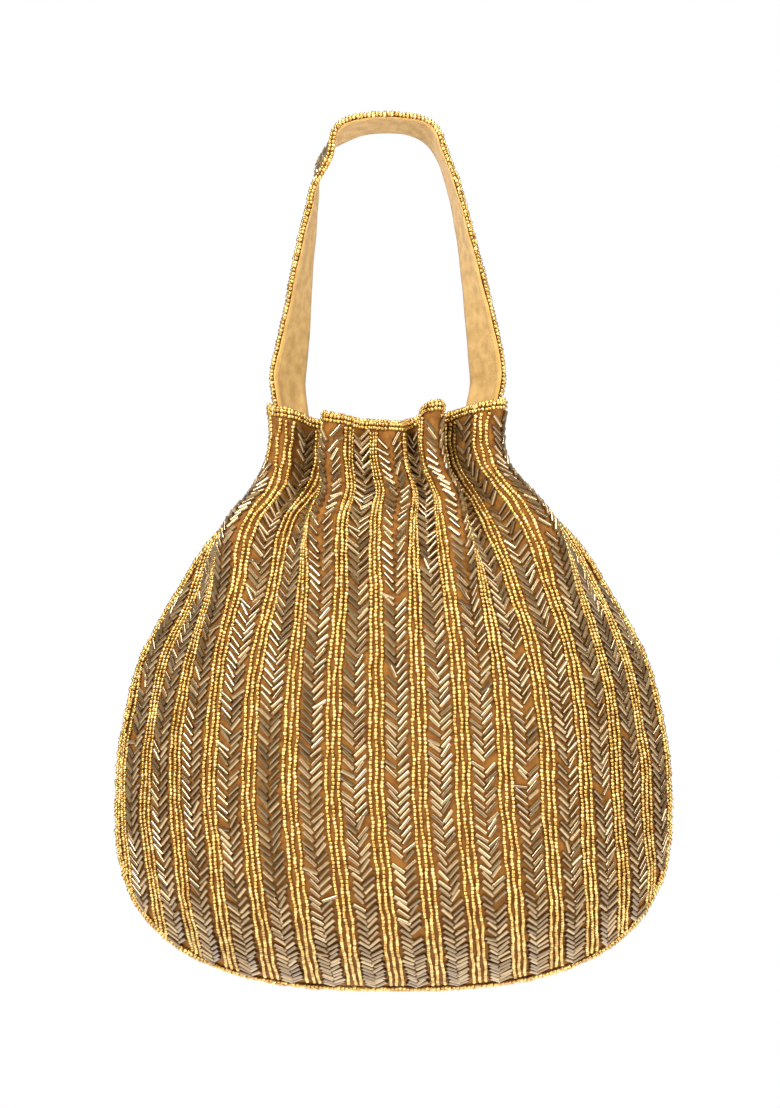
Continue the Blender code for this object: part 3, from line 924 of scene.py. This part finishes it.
def cloth_material(name, weave, dark, light, roughness, sheen, threads, bump):
    """Woven cloth between two shades, its threads raised."""
    material, shader = new_material(name, light, Roughness=roughness)
    shader.inputs["Sheen Weight"].default_value = sheen
    shader.inputs["Specular IOR Level"].default_value = 0.2
    tree = material.node_tree
    woven = node(tree, "ShaderNodeGroup", node_tree=weave)
    woven.inputs["Threads"].default_value = threads
    ramp = node(tree, "ShaderNodeValToRGB", [("Fac", woven.outputs["Shade"])])
    ramp.color_ramp.elements[0].position = 0.35
    ramp.color_ramp.elements[0].color = (*dark, 1)
    ramp.color_ramp.elements[1].position = 0.62
    ramp.color_ramp.elements[1].color = (*light, 1)
    raised = node(tree, "ShaderNodeBump", [("Height", woven.outputs["Height"]), ("Strength", bump),
                                           ("Distance", 0.0002)])
    tree.links.new(ramp.outputs["Color"], shader.inputs["Base Color"])
    tree.links.new(raised.outputs["Normal"], shader.inputs["Normal"])
    return material


def bead_group():
    """Each bead's own tone: a mix through three colours, a roughness and a faint cloudiness of the glass."""
    colors = [(label, "Color", None) for label in ("Dark", "Middle", "Light")]
    tree, start, end = new_tree("bead_tone", "ShaderNodeTree",
                                colors + [("Smooth", "Float", None), ("Rough", "Float", None)],
                                [("Color", "Color"), ("Roughness", "Float")])
    tone = node(tree, "ShaderNodeAttribute", attribute_name="tone")
    place = node(tree, "ShaderNodeTexCoord")
    cloud = node(tree, "ShaderNodeTexNoise", [("Vector", place.outputs["Object"]), ("Scale", 900.0)])
    mixed = math_node(tree, "MULTIPLY", cloud.outputs[0], 0.30)
    shifted = math_node(tree, "ADD", tone.outputs["Fac"], mixed)
    share = math_node(tree, "SUBTRACT", shifted, 0.15, use_clamp=True)
    lower = node(tree, "ShaderNodeMapRange", [("Value", share), ("From Max", 0.5)])
    upper = node(tree, "ShaderNodeMapRange", [("Value", share), ("From Min", 0.5)])
    color = start.outputs["Dark"]
    for factor, label in ((lower, "Middle"), (upper, "Light")):
        mix = node(tree, "ShaderNodeMix", data_type="RGBA")
        tree.links.new(factor.outputs[0], mix.inputs[0])
        tree.links.new(color, mix.inputs[6])
        tree.links.new(start.outputs[label], mix.inputs[7])
        color = mix.outputs[2]
    rough = node(tree, "ShaderNodeMapRange", [("Value", shifted), ("To Min", start.outputs["Smooth"]),
                                              ("To Max", start.outputs["Rough"])])
    tree.links.new(color, end.inputs["Color"])
    tree.links.new(rough.outputs[0], end.inputs["Roughness"])
    return tree


def bead_material(name, tones, dark, middle, light, smoothest, roughest, metallic):
    """Metal-lined glass beads in three tones."""
    material, shader = new_material(name, middle, Metallic=metallic)
    shader.inputs["Coat Weight"].default_value = 0.8
    shader.inputs["Coat Roughness"].default_value = 0.06
    tree = material.node_tree
    group = node(tree, "ShaderNodeGroup", node_tree=tones)
    for label, color in (("Dark", dark), ("Middle", middle), ("Light", light)):
        group.inputs[label].default_value = (*color, 1)
    group.inputs["Smooth"].default_value = smoothest
    group.inputs["Rough"].default_value = roughest
    tree.links.new(group.outputs["Color"], shader.inputs["Base Color"])
    tree.links.new(group.outputs["Roughness"], shader.inputs["Roughness"])
    return material


# ------------ the bag

SIDES = (("front", -1), ("back", 1))
LEFT_STRIPES, RIGHT_STRIPES = range(-7, 1), range(1, 9)


def keep(piece, slot, *nodes):
    """Every piece is part of the one body and stands for its nodes; its slot is not used."""
    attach(piece, "root")
    if nodes:
        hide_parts(*nodes)
    return piece


# Each cloth's dark and light shade, roughness, sheen, threads and their height
CLOTHS = {
    "ground_cloth": ((0.17, 0.060, 0.008), (0.28, 0.112, 0.015), 0.65, 0.0, 5200, 0.6),
    "lining_cloth": ((0.44, 0.26, 0.080), (0.60, 0.38, 0.135), 0.55, 0.15, 5200, 0.35),
    "hem_cloth": ((0.60, 0.34, 0.085), (0.76, 0.46, 0.14), 0.42, 0.15, 5200, 0.35),
    "elastic_web": ((0.55, 0.50, 0.42), (0.66, 0.60, 0.50), 0.8, 0.1, 4000, 0.8)}
# Each glass's dark, middle and light tone, least and most roughness, and how metallic it is
GLASSES = {
    "gold_glass": ((0.42, 0.225, 0.036), (0.64, 0.39, 0.088), (0.88, 0.66, 0.235), 0.14, 0.28, 0.82),
    "bronze_glass": ((0.17, 0.100, 0.036), (0.28, 0.175, 0.072), (0.46, 0.32, 0.155), 0.13, 0.26, 0.72)}


def add_cloth(weave):
    ground, inner, hem, rubber = (cloth_material(name, weave, *look) for name, look in CLOTHS.items())
    for word, side in SIDES:
        piece = keep(panel(f"{word}_cloth", side, ground), "beaded_cloth", f"{word}_panel")
        declare_panel(side)
        piece = keep(lining(f"{word}_lining_cloth", side, inner), "lining_cloth", f"{word}_lining")
        declare_panel(side)
    keep(elastic(rubber), "elastic", "neck_elastic")
    hem_share = HEM_WIDE / STRAP_WIDE
    face = strap_layer("strap_face_cloth", STRAP_SHARES, STRAP_FACE, STRAP_FACE, ground)
    keep(face, "beaded_cloth", "handle_face")
    middle = np.linspace(hem_share * 0.6, 0.985, 11)
    under = strap_layer("strap_lining_cloth", middle, -0.0004, 0.0004, inner, ripple=0.00007)
    keep(under, "lining_cloth", "handle_lining")
    folded = strap_layer("strap_hem", np.linspace(0.01, hem_share, 5), -0.0010, 0.0005, hem, ripple=0.00018)
    keep(folded, "lining_cloth")


def declare_panel(side):
    """Works out how large a gathered panel or lining was cut; the area is kept nowhere."""
    p, z = cloth_grid(side, 80, 60, 0.0)
    area = flat_area(surface(side, p, z))


def add_beads(tones):
    gold, bronze = (bead_material(name, tones, *look) for name, look in GLASSES.items())
    seed, bugle = seed_shape(), bugle_shape()
    strings, sticks = seed_tree(), bugle_tree()

    def string(name, lines, **settings):
        return keep(grow_beads(name, lines, strings, seed, gold, **settings), "gold_seed_beads")

    def chevrons(name, ends, tilt):
        keep(grow_beads(name, ends, sticks, bugle, bronze, Tilt=tilt), "bronze_bugle_beads")

    for word, side in SIDES:
        for hand, stripes in (("left", LEFT_STRIPES), ("right", RIGHT_STRIPES)):
            string(f"{word}_{hand}_seed_rows", seed_lines(side, stripes))
        between = [LEFT_STRIPES[0] - 1, *LEFT_STRIPES, *RIGHT_STRIPES]
        chevrons(f"{word}_bugle_chevrons", chevron_edges(side, between), 0.04)

    lift = CLOTH_THICK + SEED_WIDE * EDGING_SEAT
    for row, drops in (("upper", ((0.0006, lift), (-0.0004, 0.0002))), ("lower", ((0.0025, lift),))):
        lines = [mouth_row(side, *place) for _, side in SIDES for place in drops]
        beads = string(f"mouth_{row}_seeds", lines, **LOOSE)
        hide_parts(f"mouth_{row}_bead_row")
    for word, side in SIDES:
        lines = [seam_row(side, inside, lift) for inside in (0.0012, 0.0032)]
        beads = string(f"seam_{word}_seeds", lines, **LOOSE)
        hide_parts(f"seam_{word}_bead_row")
    line, outward = sewn_outline(MOUTH - 0.0030)
    edge = line + outward * 0.0007
    edge = np.stack([edge[:, 0], np.zeros(len(edge)), edge[:, 1]], axis=1)
    beads = string("seam_edge_seeds", [edge], Tilt=0.9, Wander=0.00045)
    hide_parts("seam_edge_bead_row")

    free = slice(len(SEWN_HEIGHTS), -len(SEWN_HEIGHTS))
    rise = STRAP_FACE + SEED_WIDE * EDGING_SEAT
    for word, sign in (("front", 1), ("back", -1)):
        for place, inside in (("outer", 0.0010), ("inner", 0.0032), ("third", 0.0055)):
            share = inside / STRAP_WIDE if sign > 0 else 1 - inside / STRAP_WIDE
            row, _ = strap_at(share, rise)
            beads = string(f"handle_{word}_{place}_seeds", [row[free]], **LOOSE)
            if place != "third":
                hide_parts(f"handle_{word}_{place}_bead_row")
    row, _ = strap_at(0.0, 0.0001)
    inner, _ = strap_at(0.5, 0.0001)
    outwards = (row - inner) / (STRAP_WIDE / 2)
    string("handle_rim_seeds", [(row + outwards * 0.0007)[free]], **LOOSE)
    chevrons("handle_bugle_chevrons", strap_chevrons(free), 0.05)
    for shape in (seed, bugle):
        bpy.data.objects.remove(shape, do_unlink=True)


def strap_chevrons(free):
    """Pairs of bugle end points for the chevrons along the middle of the strap's free part."""
    rise = STRAP_FACE + BUGLE_WIDE * BUGLE_SEAT
    line = strap_at(0.5, rise)[0][free]
    length = distances(line)
    side = unit(strap_at(1.0, rise)[0][free] - line)
    along = unit(np.gradient(line, axis=0))
    ends = []
    for hand in (-1, 1):
        at = np.arange(0.004, length[-1] - 0.008, BUGLE_PITCH) + 0.25 * hand * BUGLE_PITCH
        at = at + rng.normal(0, 0.0002, len(at))
        angle = CHEVRON_ANGLE + rng.normal(0, math.radians(4), len(at))
        here, ways, flat = (np.stack([np.interp(at, length, a[:, k]) for k in range(3)], axis=1)
                            for a in (line, along, side))
        start = here + hand * flat * CHEVRON_GAP / 2
        upwards = ways * (np.cos(angle) * BUGLE_LONG)[:, None]
        sideways = hand * flat * (np.sin(angle) * BUGLE_LONG)[:, None]
        ends.append(np.stack([start, start + (upwards + sideways)], axis=1))
    return np.concatenate(ends)


# ------------ the studio

HEIGHT_SEEN, CAMERA_DISTANCE = 0.5026, 1.187
SENSOR = 36
AIM = (0, 0, -0.24)


def add_camera():
    data = bpy.data.cameras.new("camera")
    data.sensor_fit = "VERTICAL"
    data.sensor_height = SENSOR
    data.lens = SENSOR * CAMERA_DISTANCE / HEIGHT_SEEN
    camera = bpy.data.objects.new("camera", data)
    camera.location = (0.0018, -CAMERA_DISTANCE, -0.1973)
    camera.rotation_euler = (math.pi / 2, 0, 0)
    bpy.context.scene.collection.objects.link(camera)
    bpy.context.scene.camera = camera


def add_light(name, place, size, watts):
    data = bpy.data.lights.new(name, "AREA")
    data.shape = "RECTANGLE"
    data.size, data.size_y = size
    data.energy = watts
    lamp = bpy.data.objects.new(name, data)
    lamp.location = place
    lamp.rotation_euler = (Vector(AIM) - Vector(place)).to_track_quat("-Z", "Y").to_euler()
    bpy.context.scene.collection.objects.link(lamp)


def add_studio():
    bpy.context.scene.view_settings.view_transform = "Standard"
    world = bpy.data.worlds.new("studio")
    bpy.context.scene.world = world
    world.use_nodes = True
    tree = world.node_tree
    back = tree.nodes["Background"]
    ray = node(tree, "ShaderNodeLightPath")
    bright = node(tree, "ShaderNodeMapRange", [("Value", ray.outputs["Is Camera Ray"]), ("To Min", 0.34),
                                               ("To Max", 1.0)])
    tree.links.new(bright.outputs[0], back.inputs["Strength"])
    back.inputs["Color"].default_value = (1, 1, 1, 1)
    add_light("key", place=(-0.75, -1.15, 0.55), size=(0.5, 0.7), watts=34)
    add_light("fill", place=(0.95, -1.0, 0.15), size=(0.45, 0.9), watts=17)
    add_light("top", place=(0.1, 0.15, 1.1), size=(0.7, 0.5), watts=18)
    bm = bmesh.new()
    bmesh.ops.create_grid(bm, x_segments=2, y_segments=2, size=1.6)
    bmesh.ops.translate(bm, verts=bm.verts, vec=(0, 0, BOTTOM - 0.42))
    mesh = bpy.data.meshes.new("floor")
    bm.to_mesh(mesh)
    bm.free()
    material, shader = new_material("pale_floor", (0.93, 0.93, 0.93), Roughness=0.9)
    shader.inputs["Emission Color"].default_value = (1, 1, 1, 1)
    shader.inputs["Emission Strength"].default_value = 0.35
    floor = new_piece("floor", mesh, material)


add_camera()
add_studio()
add_cloth(weave_group())
add_beads(bead_group())
